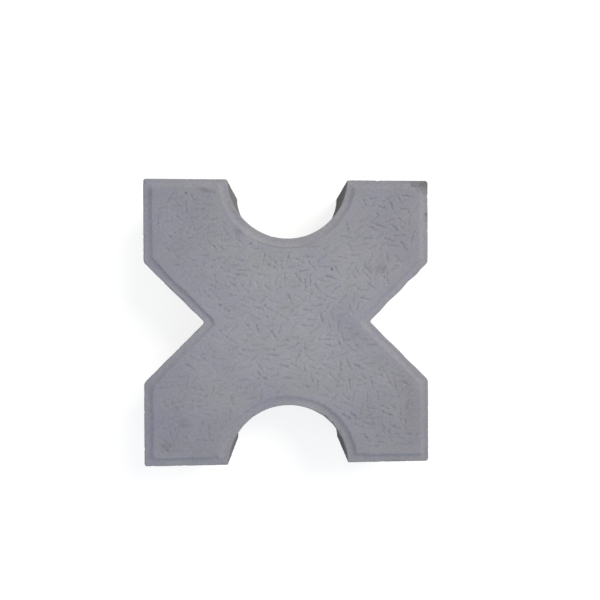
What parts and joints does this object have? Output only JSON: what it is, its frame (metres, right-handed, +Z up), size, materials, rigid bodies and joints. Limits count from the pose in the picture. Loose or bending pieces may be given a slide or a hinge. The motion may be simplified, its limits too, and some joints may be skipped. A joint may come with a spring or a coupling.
{
  "type": "concrete paving stone",
  "caption": "X-shaped cast concrete paving stone with half-round and right-angled edge notches that leave planting holes in a laid pavement, and a low rim ledge round the tread.",
  "frame": {"origin": "middle of the bed face, on the floor", "axes": "+Z up, out of the tread; +Y towards a half-round notch, +X towards a right-angled notch"},
  "size_m": [0.3, 0.3, 0.08],
  "materials": {
    "concrete": "matt grey cast concrete, tread marked with short fine grooves"
  },
  "bodies": {
    "root": {"paving_stone": "concrete"}
  },
  "joints": []
}
